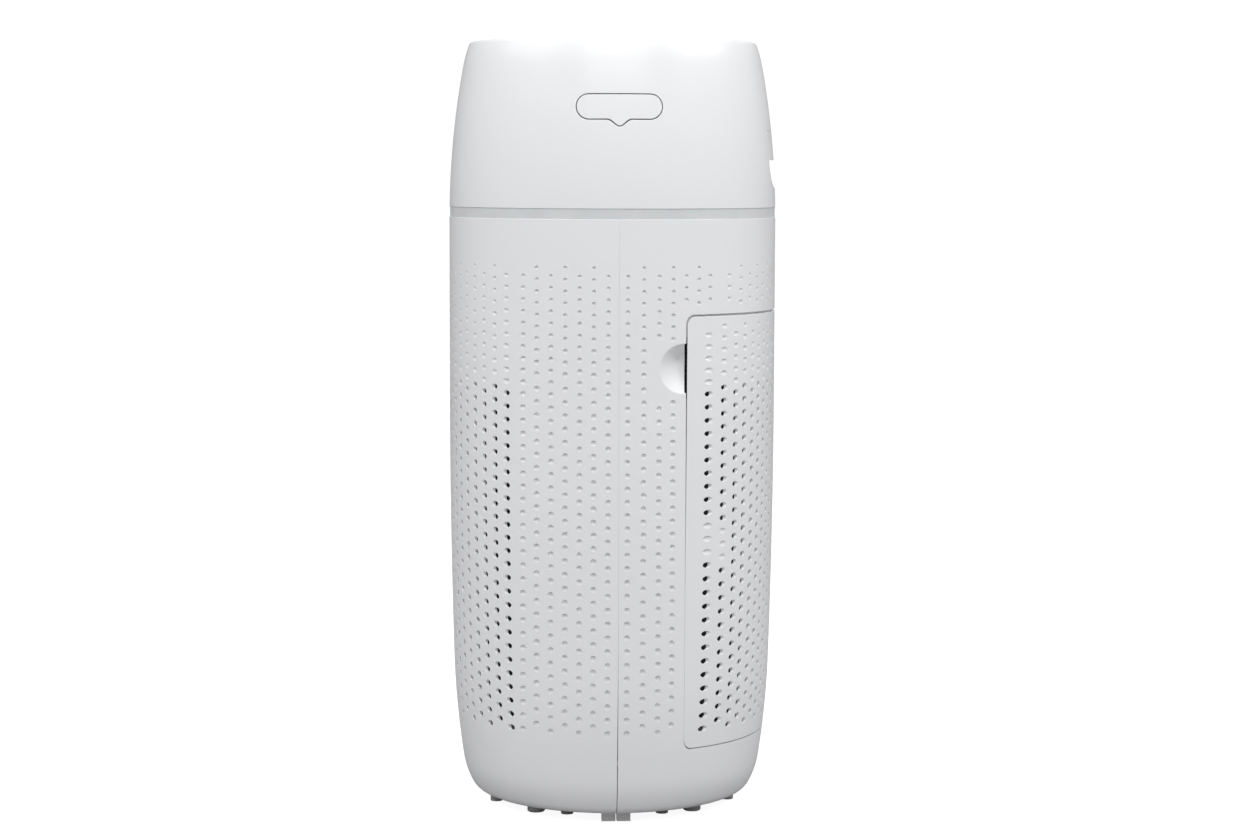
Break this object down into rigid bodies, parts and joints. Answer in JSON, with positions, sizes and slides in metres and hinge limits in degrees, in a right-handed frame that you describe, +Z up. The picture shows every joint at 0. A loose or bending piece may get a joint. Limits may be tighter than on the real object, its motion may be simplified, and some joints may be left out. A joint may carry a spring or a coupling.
{
  "type": "air purifier",
  "caption": "Round tower air purifier with a perforated body, rear filter door, light ring, side scent tray, carrying handle and top outlet grille.",
  "frame": {"origin": "centre of the base, on the floor under the feet", "axes": "+Z up the tower; -Y is the closed front; +Y is the filter door and the handle; +X is the scent tray"},
  "size_m": [0.2416, 0.2416, 0.5624],
  "materials": {
    "white_shell": "satin gloss injection-moulded",
    "diffuser": "frosted light diffuser",
    "grey_foot": "fine matt",
    "grey_rubber": "matt",
    "white_frame": "matt moulded",
    "dark_frame": "matt moulded",
    "fan_plastic": "glass-filled, slightly rough",
    "steel": "plain",
    "motor_can": "powder coated",
    "circuit_board": "solder resist",
    "wire_sleeve": "satin",
    "prefilter_mesh": "fine mesh",
    "filter_paper": "pleated fibre",
    "carbon": "granular",
    "filter_cap": "matt moulded",
    "foam_seal": "soft foam",
    "strap": "woven tape",
    "felt": "felt",
    "panel_face": "gloss",
    "smoked_window": "gloss",
    "button_cap": "fine matt"
  },
  "bodies": {
    "housing": {"base_deck": "white_frame", "base_plate": "white_frame", "base_screws": "steel", "block_feet": "grey_foot", "board_harness": "wire_sleeve", "cable_conduit": "dark_frame", "carbon_sleeve": "carbon", "control_board": "circuit_board", "control_panel": "panel_face", "cord_gland": "dark_frame", "deck_screws": "steel", "display_window": "smoked_window", "door_clips": "steel", "door_sensor": "dark_frame", "duct_screws": "steel", "fan_deck": "white_frame", "fan_housing": "dark_frame", "fan_motor": "motor_can", "filter_bottom_cap": "filter_cap", "filter_gasket": "foam_seal", "filter_media": "filter_paper", "filter_pull_tab": "strap", "filter_top_cap": "filter_cap", "finger_guard": "white_frame", "front_shell": "white_shell", "handle_insert": "white_shell", "head_screws": "steel", "led_board": "circuit_board", "light_ring": "diffuser", "mains_lead": "wire_sleeve", "motor_bearing_low": "steel", "motor_bearing_top": "steel", "motor_mount": "dark_frame", "motor_screws": "steel", "outlet_duct": "dark_frame", "outlet_grille": "white_frame", "panel_harness": "wire_sleeve", "power_board": "circuit_board", "prefilter_sleeve": "prefilter_mesh", "rear_shell": "white_shell", "rubber_feet": "grey_rubber", "small_feet": "grey_rubber", "tray_sleeve": "white_frame", "upper_housing": "white_shell"},
    "door": {"filter_door": "white_shell", "door_magnet": "motor_can"},
    "tray": {"oil_tray": "white_shell", "oil_pad": "felt"},
    "rotor": {"impeller": "fan_plastic", "motor_shaft": "steel", "impeller_nut": "steel"},
    "power_key": {"power_button": "button_cap"},
    "speed_key": {"speed_button": "button_cap"},
    "timer_key": {"timer_button": "button_cap"},
    "light_key": {"light_button": "button_cap"},
    "lock_key": {"lock_button": "button_cap"}
  },
  "joints": [
    {"name": "door_tilt", "type": "hinge", "parent": "housing", "child": "door", "pos_m": [0, 0.1145, 0.0545], "axis": [-1, 0, 0], "range_deg": [0, 25]},
    {"name": "tray_slide", "type": "slide", "parent": "housing", "child": "tray", "axis": [1, 0, 0], "range_m": [0, 0.03]},
    {"name": "rotor_spin", "type": "hinge", "parent": "housing", "child": "rotor", "pos_m": [0, 0, 0.39], "axis": [0, 0, 1], "continuous": true},
    {"name": "power_press", "type": "slide", "parent": "housing", "child": "power_key", "axis": [0, 0, -1], "range_m": [0, 0.0008], "stiffness_N_per_m": 400, "springref_m": -0.002},
    {"name": "speed_press", "type": "slide", "parent": "housing", "child": "speed_key", "axis": [0, 0, -1], "range_m": [0, 0.0008], "stiffness_N_per_m": 400, "springref_m": -0.002},
    {"name": "timer_press", "type": "slide", "parent": "housing", "child": "timer_key", "axis": [0, 0, -1], "range_m": [0, 0.0008], "stiffness_N_per_m": 400, "springref_m": -0.002},
    {"name": "light_press", "type": "slide", "parent": "housing", "child": "light_key", "axis": [0, 0, -1], "range_m": [0, 0.0008], "stiffness_N_per_m": 400, "springref_m": -0.002},
    {"name": "lock_press", "type": "slide", "parent": "housing", "child": "lock_key", "axis": [0, 0, -1], "range_m": [0, 0.0008], "stiffness_N_per_m": 400, "springref_m": -0.002}
  ]
}
